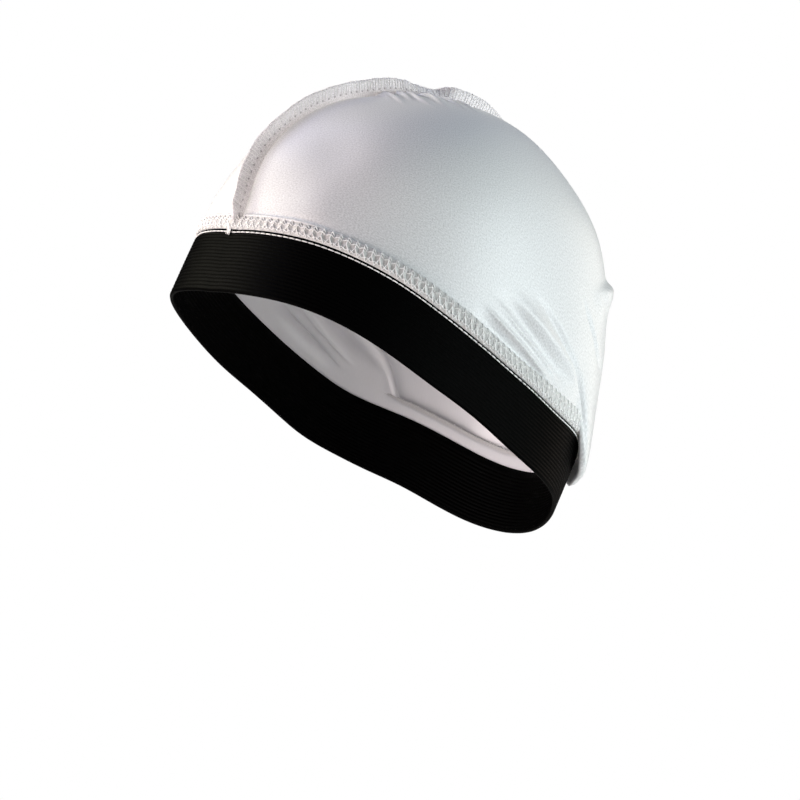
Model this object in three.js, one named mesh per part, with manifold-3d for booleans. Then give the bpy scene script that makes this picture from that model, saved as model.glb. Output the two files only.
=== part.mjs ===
// A close-fitting sleep cap: two satin panels joined by a standing seam, on a wide elastic band.
// It has the form that it takes when worn. Millimetres, +Z up, front -Y, the wearer's left +X.
// The origin is the middle of the head opening, at the lower edge of the band.
import * as THREE from "three";
import Module from "manifold-3d";

const wasm = await Module();
wasm.setup();

// Sections of the cap from the lower edge of the band to the top of the crown. Each is an oval
// through a front point, two side points and a back point. Power 2 is an ellipse, more is squarer.
const COLUMNS = ["frontY", "frontZ", "sideX", "sideY", "sideZ", "backY", "backZ", "frontPower", "backPower"];
const SECTIONS = {
  bandBottom: [-78, 50, 69, 16, -7, 77, -49.5, 2.5, 2.0],
  bandTop: [-67, 73, 68.5, 21.5, 18.5, 89.5, -27, 2.35, 2.1],
  brow: [-59, 88.5, 67, 24.5, 44.5, 101.5, 1, 2.2, 2.2],
  temple: [-52, 100.5, 64, 25.5, 70, 107.5, 33, 2.1, 2.2],
  parietal: [-42, 110.5, 58, 28, 92.5, 103, 65.5, 2, 2.2],
  high: [-26.5, 119, 46, 28, 110, 87.5, 95, 2, 2.1],
  cap: [-5, 125, 27, 28, 122, 61, 117, 2, 2],
};
const TOP_POINT = new THREE.Vector3(0, 22.5, 126.5);
const sections = Object.values(SECTIONS).map((row) => Object.fromEntries(COLUMNS.map((name, i) => [name, row[i]])));
const BAND_TOP = 1; // level of the band's upper edge, counted in sections
const TOP = sections.length; // level of the crown's top point

// Sizes that the pieces share
const GAP = 0.3;
const STEPS_AROUND = 90;
const SMALL_STEP = 0.02;

// One point of a section's oval; angle 0 is the front and a quarter turn is the wearer's left
function ovalPoint(section, angle) {
  const forward = Math.cos(angle);
  const sideways = Math.sin(angle);
  const inFront = forward > 0;
  const depth = inFront ? section.sideY - section.frontY : section.backY - section.sideY;
  const power = inFront ? section.frontPower : section.backPower;
  const spread = Math.abs(forward / depth) ** power + Math.abs(sideways / section.sideX) ** power;
  const radius = spread ** (-1 / power);
  const meanZ = (section.frontZ + 2 * section.sideZ + section.backZ) / 4;
  const slopeZ = (section.frontZ - section.backZ) / 2;
  const archZ = (section.frontZ - 2 * section.sideZ + section.backZ) / 4;
  return new THREE.Vector3(
    radius * sideways,
    section.sideY - radius * forward,
    meanZ + slopeZ * forward + archZ * Math.cos(2 * angle),
  );
}

function degreesFromFront(angle) {
  return Math.abs(THREE.MathUtils.radToDeg(Math.atan2(Math.sin(angle), Math.cos(angle))));
}

// The band dips over the ears and climbs behind them. Its lower and upper edges, and with the upper
// one the crown above it, lie this many millimetres higher than the ovals, every 12 degrees from
// the front to the back.
const DIP_DEGREES = 12;
const LOWER_DIP = [-1.2, -0.2, 1, 0.4, -2, -3.8, -3.2, -2.6, -2.1, -0.3, 1.3, 2.3, 1.2, -0.4, -1.3, -1.6];
const UPPER_DIP = [-1.9, -0.8, 0.2, -0.1, -1.3, -2.9, -3.3, -2.8, -1.8, -0.8, 1.6, 3.4, 2.8, 0.8, -0.8, -1.4];
const DIP_END = 3.2; // level above which the ovals are plain
const [lowerDip, upperDip] = [LOWER_DIP, UPPER_DIP].map((heights) => {
  const places = heights.map((_, i) => i * DIP_DEGREES);
  return new THREE.CubicInterpolant(places, heights, 1, new Float32Array(1));
});

function bandDip(angle, level) {
  const degrees = degreesFromFront(angle);
  const low = THREE.MathUtils.clamp(level, 0, BAND_TOP);
  const dip = THREE.MathUtils.lerp(lowerDip.evaluate(degrees)[0], upperDip.evaluate(degrees)[0], low);
  return dip * (1 - THREE.MathUtils.smoothstep(level, BAND_TOP, DIP_END));
}

// The smooth form of the cap without folds, as a curve up the sections that runs on over the top
function smoothPoint(angle, level) {
  const climb = sections.map((section) => ovalPoint(section, angle));
  const pastTop = ovalPoint(sections[TOP - 1], angle + Math.PI);
  const curve = new THREE.CatmullRomCurve3([...climb, TOP_POINT, pastTop], false, "catmullrom", 0.5);
  const point = curve.getPoint(level / (TOP + 1));
  point.z += bandDip(angle, level);
  return point;
}

function smoothNormal(angle, level) {
  const up = smoothPoint(angle, level + SMALL_STEP).sub(smoothPoint(angle, Math.max(0, level - SMALL_STEP)));
  const around = smoothPoint(angle + SMALL_STEP, level).sub(smoothPoint(angle - SMALL_STEP, level));
  if (level === TOP) {
    around.set(Math.cos(angle), Math.sin(angle), 0);
  }
  return around.cross(up).normalize();
}

// Folds that fan out of the band seam behind the ear, the same on both sides: the line that each
// ridge follows, in degrees from the front and levels, with its half width and height
const FOLD_COLUMNS = ["startDegrees", "startLevel", "endDegrees", "endLevel", "halfWidth", "height"];
const FOLDS = [
  [72, 1.55, 103, 1.35, 4, 0.8],
  [84, 2.05, 119, 1.55, 5, 1.6],
  [92, 2.45, 128, 1.55, 5, -1.2],
].map((row) => Object.fromEntries(FOLD_COLUMNS.map((name, i) => [name, row[i]])));
const MM_PER_DEGREE = 1.25;
const MM_PER_LEVEL = 26;

// The fabric sags over the band at the nape
const NAPE = { degrees: 118, fadeDegrees: 30, level: 1.3, fadeLevels: 0.4, height: 2 };

function foldHeight(fold, degrees, level) {
  const run = new THREE.Vector2(
    (fold.endDegrees - fold.startDegrees) * MM_PER_DEGREE,
    (fold.endLevel - fold.startLevel) * MM_PER_LEVEL,
  );
  const place = new THREE.Vector2(
    (degrees - fold.startDegrees) * MM_PER_DEGREE,
    (level - fold.startLevel) * MM_PER_LEVEL,
  );
  const length = run.length();
  const along = place.dot(run) / length;
  const across = place.cross(run) / length;
  const middle = (along - length / 2) / (length / 2);
  return fold.height * Math.exp(-((across / fold.halfWidth) ** 2)) * Math.exp(-(middle ** 4));
}

function drape(angle, level) {
  const degrees = degreesFromFront(angle);
  const aboveBand = THREE.MathUtils.smoothstep(level, BAND_TOP, BAND_TOP + 0.25);
  const backward = THREE.MathUtils.smoothstep(degrees, NAPE.degrees, NAPE.degrees + NAPE.fadeDegrees);
  const nape = NAPE.height * backward * Math.exp(-(((level - NAPE.level) / NAPE.fadeLevels) ** 2));
  const folds = FOLDS.reduce((sum, fold) => sum + foldHeight(fold, degrees, level), 0);
  return aboveBand * (nape + folds);
}

// A point of the cap's fabric, or of a layer at some distance outside it
function skinPoint(angle, level, outside) {
  return smoothPoint(angle, level).addScaledVector(smoothNormal(angle, level), drape(angle, level) + outside);
}

// How far the fabric climbs for one level, just above the band
function climbPerLevel(angle) {
  const near = 0.2;
  return smoothPoint(angle, BAND_TOP + near).distanceTo(smoothPoint(angle, BAND_TOP)) / near;
}

// A ring round the cap, at a level and a distance in millimetres above it and outside it
function skinRing({ level, above = 0, outside }) {
  if (level === TOP) {
    return [skinPoint(0, TOP, outside)];
  }
  return Array.from({ length: STEPS_AROUND }, (_, i) => {
    const angle = (i * 2 * Math.PI) / STEPS_AROUND;
    return skinPoint(angle, level + above / climbPerLevel(angle), outside);
  });
}

// The faces of a closed solid made of rings of points. The last ring joins the first, or else each
// end is a single point or is filled in.
function solidFromRings(rings, looped) {
  const points = rings.flat();
  const starts = rings.map((_, i) => rings.slice(0, i).reduce((sum, ring) => sum + ring.length, 0));
  const faces = [];
  const joins = looped ? rings.length : rings.length - 1;
  for (let i = 0; i < joins; i++) {
    const next = (i + 1) % rings.length;
    const steps = Math.max(rings[i].length, rings[next].length);
    for (let k = 0; k < steps; k++) {
      const [a, b] = [k, k + 1].map((n) => starts[i] + (n % rings[i].length));
      const [c, d] = [k, k + 1].map((n) => starts[next] + (n % rings[next].length));
      const shortWay = points[a].distanceTo(points[d]) <= points[b].distanceTo(points[c]);
      if (a === b) {
        faces.push([a, d, c]);
      } else if (c === d) {
        faces.push([a, b, c]);
      } else if (shortWay) {
        faces.push([a, b, d], [a, d, c]);
      } else {
        faces.push([a, b, c], [b, d, c]);
      }
    }
  }
  if (!looped && rings[0].length > 1) {
    const last = rings.length - 1;
    for (let k = 1; k < rings[0].length - 1; k++) {
      faces.push([0, k + 1, k]);
      faces.push([starts[last], starts[last] + k, starts[last] + k + 1]);
    }
  }
  return { points, faces };
}

function geometryFrom(positions, index) {
  const geometry = new THREE.BufferGeometry();
  geometry.setAttribute("position", new THREE.Float32BufferAttribute(positions, 3));
  geometry.setIndex(index);
  geometry.computeVertexNormals();
  return geometry;
}

function solidGeometry({ points, faces }) {
  return geometryFrom(points.flatMap((point) => point.toArray()), faces.flat());
}

// The part of a solid on one side of the middle plane of the cap, half a gap away from it
function halfGeometry({ points, faces }, side) {
  const mesh = new wasm.Mesh({
    numProp: 3,
    vertProperties: Float32Array.from(points.flatMap((point) => point.toArray())),
    triVerts: Uint32Array.from(faces.flat()),
  });
  const half = new wasm.Manifold(mesh).trimByPlane([side, 0, 0], GAP / 2).getMesh();
  return geometryFrom(Array.from(half.vertProperties), Array.from(half.triVerts));
}

// The elastic: a loop of ribbed webbing, a little thicker than the satin
const BAND = { inside: -1.1, outside: 0.3 };

function bandSolid() {
  return solidFromRings(
    [
      { level: 0, outside: BAND.inside },
      { level: 0, outside: BAND.outside },
      { level: BAND_TOP / 2, outside: BAND.outside },
      { level: BAND_TOP, outside: BAND.outside },
      { level: BAND_TOP, outside: BAND.inside },
      { level: BAND_TOP / 2, outside: BAND.inside },
    ].map(skinRing),
    true,
  );
}

// The overlocked strip that joins the crown to the elastic, with a rolled upper edge
const BAND_SEAM = { width: 7, thickness: 1.3, roll: 0.5 };

function bandSeamSolid() {
  const { width, thickness, roll } = BAND_SEAM;
  return solidFromRings(
    [
      { above: GAP, outside: GAP },
      { above: GAP, outside: GAP + thickness },
      { above: width - 2 * roll, outside: GAP + thickness + roll },
      { above: width, outside: GAP + thickness },
      { above: width, outside: GAP },
      { above: width / 2, outside: GAP },
    ].map((edge) => skinRing({ level: BAND_TOP, ...edge })),
    true,
  );
}

// The crown: one shell of satin, cut into a left and a right panel along the middle
const SATIN_THICKNESS = 1;
const PANEL_LEVELS = [1.5, 1.75, 2, 2.25, 2.5, 3, 3.5, 4, 4.5, 5, 5.5, 6, 6.25, 6.5, 6.75, TOP];

function crownSolid() {
  const heights = [
    { level: BAND_TOP, above: GAP },
    { level: BAND_TOP, above: BAND_SEAM.width / 2 },
    { level: BAND_TOP, above: BAND_SEAM.width },
    ...PANEL_LEVELS.map((level) => ({ level })),
  ];
  const inner = heights.map((height) => skinRing({ ...height, outside: -SATIN_THICKNESS }));
  const outer = heights.map((height) => skinRing({ ...height, outside: 0 }));
  return solidFromRings([...inner.reverse(), ...outer], false);
}

// The standing seam: both panels' edges, overlocked together and left upright. It leans to the
// wearer's left by some degrees at places counted in levels from the front over to the back.
const STANDING_SEAM = { height: 7, footThickness: 2, edgeThickness: 1.5 };
const SEAM_PLACES = [1, 4, 6.6, 7.25, 7.8, 9, 10.5, 13];
const SEAM_LEANS = [0, 2, 0, -26, -4, 10, -12, 4];
const seamLean = new THREE.CubicInterpolant(SEAM_PLACES, SEAM_LEANS, 1, new Float32Array(1));

// The four corners of the standing seam's section at one place
function standingSeamRing({ angle, level, above = 0 }) {
  const place = angle === 0 ? level : 2 * TOP - level;
  const lean = THREE.MathUtils.degToRad(seamLean.evaluate(place)[0]);
  const surfaceLevel = level + above / climbPerLevel(angle);
  const foot = skinPoint(angle, surfaceLevel, GAP);
  const outward = smoothNormal(angle, surfaceLevel);
  const corner = (halfThickness, rise) =>
    foot
      .clone()
      .addScaledVector(outward, rise * Math.cos(lean))
      .add(new THREE.Vector3(halfThickness + rise * Math.sin(lean), 0, 0));
  const { height, footThickness, edgeThickness } = STANDING_SEAM;
  return [
    corner(edgeThickness / 2, height),
    corner(footThickness / 2, 0),
    corner(-footThickness / 2, 0),
    corner(-edgeThickness / 2, height),
  ];
}

function standingSeamSolid() {
  const foot = { level: BAND_TOP, above: BAND_SEAM.width + GAP };
  const front = [foot, ...PANEL_LEVELS.map((level) => ({ level }))].map((place) => ({ ...place, angle: 0 }));
  const back = front.slice(0, -1).map((place) => ({ ...place, angle: Math.PI })).reverse();
  return solidFromRings([...front, ...back].map(standingSeamRing), false);
}

const satin = new THREE.MeshStandardMaterial({ color: 0xe9e9ee, roughness: 0.4, metalness: 0 });
const overlock = new THREE.MeshStandardMaterial({ color: 0xe4e2e0, roughness: 0.85, metalness: 0 });
const elastic = new THREE.MeshStandardMaterial({ color: 0x0a0a0c, roughness: 0.8, metalness: 0 });

const crown = crownSolid();
const cap = new THREE.Group();
const pieces = [
  ["crown_left", halfGeometry(crown, 1), satin],
  ["crown_right", halfGeometry(crown, -1), satin],
  ["centre_seam", solidGeometry(standingSeamSolid()), overlock],
  ["band_seam", solidGeometry(bandSeamSolid()), overlock],
  ["band", solidGeometry(bandSolid()), elastic],
];
for (const [name, geometry, finish] of pieces) {
  const mesh = new THREE.Mesh(geometry, finish.clone());
  mesh.name = name;
  cap.add(mesh);
}

export default cap;
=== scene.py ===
import bpy
import bmesh
import numpy as np
from mathutils import Matrix, Vector


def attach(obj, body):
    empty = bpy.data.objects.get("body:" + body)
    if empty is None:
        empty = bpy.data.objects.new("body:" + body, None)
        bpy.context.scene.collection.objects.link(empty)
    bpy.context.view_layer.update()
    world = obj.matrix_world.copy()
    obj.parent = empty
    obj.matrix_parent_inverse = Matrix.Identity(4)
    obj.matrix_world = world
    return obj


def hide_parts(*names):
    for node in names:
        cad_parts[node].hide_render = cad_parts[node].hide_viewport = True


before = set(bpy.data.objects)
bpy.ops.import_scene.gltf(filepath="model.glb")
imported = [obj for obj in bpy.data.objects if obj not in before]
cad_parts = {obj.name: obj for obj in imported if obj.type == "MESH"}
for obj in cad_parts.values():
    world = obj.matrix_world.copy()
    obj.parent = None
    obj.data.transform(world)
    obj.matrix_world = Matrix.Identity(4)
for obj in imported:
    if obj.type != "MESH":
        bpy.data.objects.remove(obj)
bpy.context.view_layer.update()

# The crown: two panels of white stretch satin, its dull side out, cut alike with one curved edge.
# They are sewn together along the middle of the cap, and the elastic draws their lower edges in.

# Ovals up the cap: front y and z, side x, y and z, back y and z, and how square front and back are
SECTIONS = [
    (-78, 50, 69, 16, -7, 77, -49.5, 2.5, 2.0),
    (-67, 73, 68.5, 21.5, 18.5, 89.5, -27, 2.35, 2.1),
    (-59, 88.5, 67, 24.5, 44.5, 101.5, 1, 2.2, 2.2),
    (-52, 100.5, 64, 25.5, 70, 107.5, 33, 2.1, 2.2),
    (-42, 110.5, 58, 28, 92.5, 103, 65.5, 2, 2.2),
    (-26.5, 119, 46, 28, 110, 87.5, 95, 2, 2.1),
    (-5, 125, 27, 28, 122, 61, 117, 2, 2),
]
TOP_POINT = (0, 22.5, 126.5)
BAND_TOP = 1  # level of the elastic's upper edge, counted in sections
TOP = len(SECTIONS)  # level of the highest point
SMALL_STEP = 0.02
LEFT = 1
RIGHT = -1


def unit(vectors):
    return vectors / np.linalg.norm(vectors, axis=-1, keepdims=True)


def ease(value, start, end):
    """0 before start, 1 after end, and a smooth rise between them."""
    share = np.clip((value - start) / (end - start), 0, 1)
    return share * share * (3 - 2 * share)


def fade(value, start, end):
    """1 before start, 0 after end, and a smooth fall between them."""
    return ease(end - value, 0, end - start)


def bell(distance, reach):
    """1 at no distance, about a third at the reach, and next to nothing at twice the reach."""
    return np.exp(-((distance / reach) ** 2))


def waver(place, length):
    """A smooth uneven wave from -1 to 1, with bumps about one length long."""
    turn = 2 * np.pi * place / length
    return (np.sin(turn) + np.sin(1.7 * turn + 1.3) + np.sin(2.9 * turn + 4.1)) / 3


def oval(section, angle):
    """Points of a section. Angle 0 is the front, and a quarter turn is the wearer's left."""
    front_y, front_z, side_x, side_y, side_z, back_y, back_z, front_power, back_power = section
    forward = np.cos(angle)
    sideways = np.sin(angle)
    depth = np.where(forward > 0, side_y - front_y, back_y - side_y)
    power = np.where(forward > 0, front_power, back_power)
    spread = np.abs(forward / depth) ** power + np.abs(sideways / side_x) ** power
    radius = spread ** (-1 / power)
    mean_z = (front_z + 2 * side_z + back_z) / 4
    slope_z = (front_z - back_z) / 2
    arch_z = (front_z - 2 * side_z + back_z) / 4
    height = mean_z + slope_z * forward + arch_z * np.cos(2 * angle)
    return np.stack([radius * sideways, side_y - radius * forward, height], axis=-1)


def smooth_curve(knots, place):
    """A point for each place, 0 for the first knot. knots[k, i] is knot k of the curve of place i."""
    count = len(knots)
    rows = np.eye(count)
    for k in range(1, count - 1):
        rows[k, k - 1 : k + 2] = (1, 4, 1)
    change = np.zeros(knots.shape)
    change[1:-1] = 6 * (knots[2:] - 2 * knots[1:-1] + knots[:-2])
    bend = np.tensordot(np.linalg.inv(rows), change, axes=1)
    before = np.clip(np.floor(place).astype(int), 0, count - 2)
    each = np.arange(len(place))
    after_share = (place - before)[:, None]
    before_share = 1 - after_share
    straight = before_share * knots[before, each] + after_share * knots[before + 1, each]
    bend_before = (before_share**3 - before_share) * bend[before, each]
    bend_after = (after_share**3 - after_share) * bend[before + 1, each]
    return straight + (bend_before + bend_after) / 6


# The band dips at the sides and climbs behind them. Its lower and upper edges, and with the upper
# one the crown above it, lie this many millimetres higher than plain ovals, every 12 degrees from
# the front to the back.
DIP_DEGREES = 12
LOWER_DIP = (-1.2, -0.2, 1.0, 0.4, -2.0, -3.8, -3.2, -2.6, -2.1, -0.3, 1.3, 2.3, 1.2, -0.4, -1.3, -1.6)
UPPER_DIP = (-1.9, -0.8, 0.2, -0.1, -1.3, -2.9, -3.3, -2.8, -1.8, -0.8, 1.6, 3.4, 2.8, 0.8, -0.8, -1.4)
DIP_END = 3.2  # level above which the ovals are plain


def band_dip(angle, level):
    """How much higher than its oval each place lies."""
    turned = np.degrees(np.abs((angle + np.pi) % (2 * np.pi) - np.pi)) / DIP_DEGREES
    lower, upper = [
        smooth_curve(np.repeat(np.array(dips)[:, None, None], len(turned), axis=1), turned)[:, 0]
        for dips in (LOWER_DIP, UPPER_DIP)
    ]
    low = np.clip(level, 0, 1)
    return (lower * (1 - low) + upper * low) * (1 - ease(level, BAND_TOP, DIP_END))


def form_point(angle, level):
    """Points of the smooth form of the cap, without folds."""
    climb = [oval(section, angle) for section in SECTIONS]
    top = np.broadcast_to(TOP_POINT, climb[0].shape)
    past_top = oval(SECTIONS[-1], angle + np.pi)
    point = smooth_curve(np.stack([*climb, top, past_top]), level)
    point[:, 2] += band_dip(angle, level)
    return point


def form_up(angle, level):
    below = form_point(angle, np.maximum(level - SMALL_STEP, 0))
    return unit(form_point(angle, level + SMALL_STEP) - below)


def form_normal(angle, level):
    around = form_point(angle + SMALL_STEP, level) - form_point(angle - SMALL_STEP, level)
    at_top = np.stack([np.cos(angle), np.sin(angle), 0 * angle], axis=-1)
    around = np.where(level[:, None] > TOP - SMALL_STEP, at_top, around)
    return unit(np.cross(around, form_up(angle, level)))


def climb_per_level(angle):
    """Millimetres of fabric for one level, just above the band."""
    near = 0.2
    low = form_point(angle, np.full(len(angle), BAND_TOP, float))
    high = form_point(angle, np.full(len(angle), BAND_TOP + near))
    return np.linalg.norm(high - low, axis=1) / near


def level_above_band(angle, above):
    return BAND_TOP + above / climb_per_level(angle)


# Folds in the satin. Most fan out of the band seam behind the middle of the side, and the last three
# lie across the back. Each has the line that it follows, in degrees from the front and levels, then
# in millimetres its reach below and above that line and its height, and last the shares of its
# length over which it starts and ends.
FOLDS = [
    ([(69, 1.45), (80, 1.39), (95, 1.33), (103, 1.31)], 3.0, 2.6, -1.6, 0.3, 0.3),
    ([(72, 1.66), (80, 1.57), (89, 1.50), (98, 1.41), (104, 1.36)], 0.9, 0.8, 1.0, 0.3, 0.2),
    ([(74, 1.84), (82, 1.77), (88, 1.69), (98, 1.58), (108, 1.47)], 0.8, 1.0, 1.0, 0.4, 0.2),
    ([(76, 1.97), (88, 1.85), (97, 1.72), (105, 1.62), (114, 1.49)], 3.0, 3.2, -1.3, 0.4, 0.3),
    ([(83, 2.14), (97, 1.99), (105, 1.90), (114, 1.77), (121, 1.60)], 2.8, 2.6, 1.6, 0.4, 0.25),
    (
        [(92, 2.37), (105, 2.17), (111, 2.01), (117, 1.82), (123, 1.62), (130, 1.42)],
        1.2, 1.8, -1.5, 0.4, 0.15,
    ),
    ([(120, 2.94), (124, 2.74), (129, 2.54), (134, 2.36), (141, 2.24)], 0.8, 1.6, -1.4, 0.4, 0.3),
    ([(132, 3.16), (138, 3.04), (143, 2.90)], 1.2, 3.5, -0.7, 0.4, 0.4),
    ([(170, 3.62), (160, 3.50), (151, 3.38), (143, 3.27), (135, 3.14), (128, 3.00)], 3.2, 7.5, 3.1, 0.5, 0.3),
    ([(180, 2.75), (168, 2.48), (155, 2.15), (143, 1.80)], 5.0, 7.0, -1.5, 0.5, 0.4),
    ([(180, 2.05), (168, 1.95), (156, 1.80), (147, 1.65)], 4.0, 5.0, -1.0, 0.5, 0.4),
]

# Pleats that the standing seam gathers at the top, given the same way but in plan, as x and y, with
# the reach in front of each line and behind it
PLEATS = [
    ([(0, 3), (9, 0), (18, -5)], 0.6, 2.2, 0.8, 0.02, 0.7),
    ([(0, 5), (13, 1), (26, -4)], 0.6, 2.4, 1.1, 0.02, 0.7),
    ([(0, 12), (12, 7), (24, 1)], 0.6, 2.4, 1.25, 0.02, 0.7),
    ([(0, 17), (20, 8), (34, 10)], 0.6, 2.6, 1.25, 0.02, 0.6),
    ([(0, 24), (13, 19), (26, 14), (36, 13)], 0.6, 2.8, 1.35, 0.02, 0.6),
    ([(0, 30), (18, 24), (36, 22)], 0.6, 2.8, 1.25, 0.02, 0.6),
    ([(0, 38), (14, 33), (28, 28), (34, 33)], 0.6, 2.8, 1.1, 0.02, 0.6),
    ([(0, 47), (12, 44), (24, 43)], 0.7, 3.0, 0.7, 0.02, 0.6),
    ([(0, 57), (10, 56), (22, 57)], 0.7, 3.0, 0.6, 0.02, 0.6),
]
PLEAT_HEIGHTS = (92, 106)  # the pleats fade out downwards over these, where plan and fabric part
FOLDS_START = 0.25  # levels above the band over which folds and pleats begin


def smooth_line(knots, count=24):
    """Evenly counted points on a smooth curve through a few knots."""
    place = np.linspace(0, len(knots) - 1, count)
    own_knots = np.repeat(np.array(knots, float)[:, None], count, axis=1)
    return smooth_curve(own_knots, place)


def ridge(points, normals, line, below, above, height, start, end):
    """How far one fold lifts each point of the fabric near its line."""
    lift = np.zeros(len(points))
    margin = 3 * max(below, above)
    in_reach = (points > line.min(axis=0) - margin) & (points < line.max(axis=0) + margin)
    near = np.flatnonzero(in_reach.all(axis=1))
    places = points[near]
    steps = np.diff(line, axis=0)
    lengths = np.linalg.norm(steps, axis=1)
    travelled = np.concatenate([[0], np.cumsum(lengths)])
    distance = np.full(len(near), np.inf)
    share = np.zeros(len(near))
    side = np.zeros(len(near))
    for corner, step, length, before in zip(line, steps, lengths, travelled):
        direction = step / length
        along = np.clip((places - corner) @ direction, 0, length)
        offset = places - corner - along[:, None] * direction
        gap = np.linalg.norm(offset, axis=1)
        turned = (np.cross(direction, normals[near]) * offset).sum(axis=1)
        closer = gap < distance
        distance = np.where(closer, gap, distance)
        side = np.where(closer, turned, side)
        share = np.where(closer, (before + along) / travelled[-1], share)
    reach = np.where(side > 0, below, above)
    ends = ease(share, 0, start) * ease(1 - share, 0, end)
    lift[near] = height * ends * bell(distance, reach)
    return lift


def fold_lines(side):
    """The folds of one side of the cap. The hidden right side has its own small differences."""
    stretch = 1 if side == LEFT else 0.96
    raised = 0 if side == LEFT else 0.06
    lines = []
    for knots, *shape in FOLDS:
        degrees, level = smooth_line(knots).T
        angle = np.radians(180 - (180 - degrees) * stretch) * side
        lines.append((form_point(angle, level + raised * ease(level, 1.5, 2.5)), shape))
    return lines


def pleat_lines(side):
    shift = 0 if side == LEFT else 3
    lines = []
    for knots, front, back, *shape in PLEATS:
        x, y = smooth_line(knots).T
        reach = (front, back) if side == LEFT else (back, front)
        lines.append((np.stack([x * side, y + shift, 0 * x], axis=-1), (*reach, *shape)))
    return lines


folds = {side: fold_lines(side) for side in (LEFT, RIGHT)}
pleats = {side: pleat_lines(side) for side in (LEFT, RIGHT)}

# The fabric hangs loose at the nape. It pouches out and down over the band seam in a rounded fold,
# whose lower layer is turned under and goes back up to the seam. It begins behind the sides, is a
# little uneven, and is less deep at the middle. The degrees count from the front, and POUCH_STARTS
# has the heights above the band over which each layer leaves the form.
POUCH = {
    "degrees": (120, 133),
    "uneven": 0.08,
    "uneven_degrees": (140, 150),
    "less": 0.35,
    "less_degrees": (136, 172),
    "above_band": 11,
}
POUCH_OUTWARD = {"distance": 5.4, "reach": 13}
POUCH_DOWNWARD = {"distance": 19.8, "reach": 17}
TURNED_UNDER = 0.36  # share of the way out at which the lower layer hangs
POUCH_STARTS = {"lower_layer": (6, 8), "outer_layer": (8.5, 12), "downward": (7.5, 10)}

# At the front the fabric rolls over the top edge of the strip, with a shallow dip above the roll
ROLL = {"above_band": 7.5, "reach": 0.75, "height": 1.35}
ROLL_DIP = {"above_band": 9.6, "reach": 1.4, "height": -0.35}
ROLL_DEGREES = {"starts": (0.3, 2.5), "ends": (18, 34)}

# The stitching draws the fabric in along the middle
MIDDLE_GROOVE = {"reach": 0.9, "height": -0.4}

# In front the standing seam holds the fabric up in a low ridge, and the panels are flat beside it.
# Each soft place has its middle, with x to either side, then its reach and its height.
FRONT_RIDGE = {"reach": 13, "height": 1.4, "forward": (-2, 18), "levels": (1.2, 2.5)}
SOFT_PLACES = [((29, -41, 103), 13, -1.5), ((33, -52, 81), 10, 0.9), ((45, 85, 72), 22, 1.2)]


def drape(angle, level, points, normals):
    """How far the fabric and the seams on it lie outside the smooth form."""
    lift = np.zeros(len(points))
    flat = points * (1, 1, 0)
    upward = np.broadcast_to((0.0, 0.0, 1.0), points.shape)
    high_up = ease(points[:, 2], *PLEAT_HEIGHTS)
    for side in (LEFT, RIGHT):
        here = points[:, 0] * side >= 0
        for line, shape in folds[side]:
            lift += here * ridge(points, normals, line, *shape)
        for line, shape in pleats[side]:
            lift += here * high_up * ridge(flat, upward, line, *shape)
    in_front = ease(-points[:, 1], *FRONT_RIDGE["forward"]) * ease(level, *FRONT_RIDGE["levels"])
    lift += FRONT_RIDGE["height"] * in_front * bell(points[:, 0], FRONT_RIDGE["reach"])
    either_side = np.abs(points * (1, 0, 0)) + points * (0, 1, 1)
    for middle, reach, height in SOFT_PLACES:
        lift += height * bell(np.linalg.norm(either_side - middle, axis=1), reach)
    return lift * ease(level, BAND_TOP, BAND_TOP + FOLDS_START)


def skin(angle, level, outside):
    """Points at some distance outside the draped fabric, and the outward direction there."""
    points = form_point(angle, level)
    normals = form_normal(angle, level)
    lift = drape(angle, level, points, normals)
    return points + normals * (lift + outside)[:, None], normals


def grid_mesh(name, grid, uv, wrap_rows=False, wrap_columns=False):
    """A mesh over a grid of points. A grid that wraps has one more row or column of uv than points."""
    rows, columns = grid.shape[:2]
    row, column = np.meshgrid(
        np.arange(rows if wrap_rows else rows - 1),
        np.arange(columns if wrap_columns else columns - 1),
        indexing="ij",
    )
    corners = [(row, column), (row, column + 1), (row + 1, column + 1), (row + 1, column)]
    faces = np.stack([(r % rows) * columns + c % columns for r, c in corners], axis=-1)
    mesh = bpy.data.meshes.new(name)
    mesh.from_pydata((grid.reshape(-1, 3) / 1000).tolist(), [], faces.reshape(-1, 4).tolist())
    corner_uv = np.stack([uv[r, c] for r, c in corners], axis=-2)
    mesh.uv_layers.new(name="millimetres").data.foreach_set("uv", corner_uv.ravel())
    return mesh


def add_piece(mesh, materials, replaced=()):
    """A smooth-shaded object of the cap, riding on its root in the materials given; it hides the parts that
    it replaces.
    """
    piece = bpy.data.objects.new(mesh.name, mesh)
    bpy.context.scene.collection.objects.link(piece)
    for material in materials:
        mesh.materials.append(material)
    mesh.polygons.foreach_set("use_smooth", np.ones(len(mesh.polygons), bool))
    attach(piece, "root")
    if replaced:
        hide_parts(*replaced)
    return piece


def new_group(name, inputs, outputs):
    """A shader node group with named sockets, each given as a name, a kind and its usual value."""
    group = bpy.data.node_groups.new(name, "ShaderNodeTree")
    for socket_name, kind, value in inputs:
        socket = group.interface.new_socket(socket_name, in_out="INPUT", socket_type=kind)
        if value is not None:
            socket.default_value = value
    for socket_name, kind in outputs:
        group.interface.new_socket(socket_name, in_out="OUTPUT", socket_type=kind)
    return group, group.nodes.new("NodeGroupInput"), group.nodes.new("NodeGroupOutput")


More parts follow.
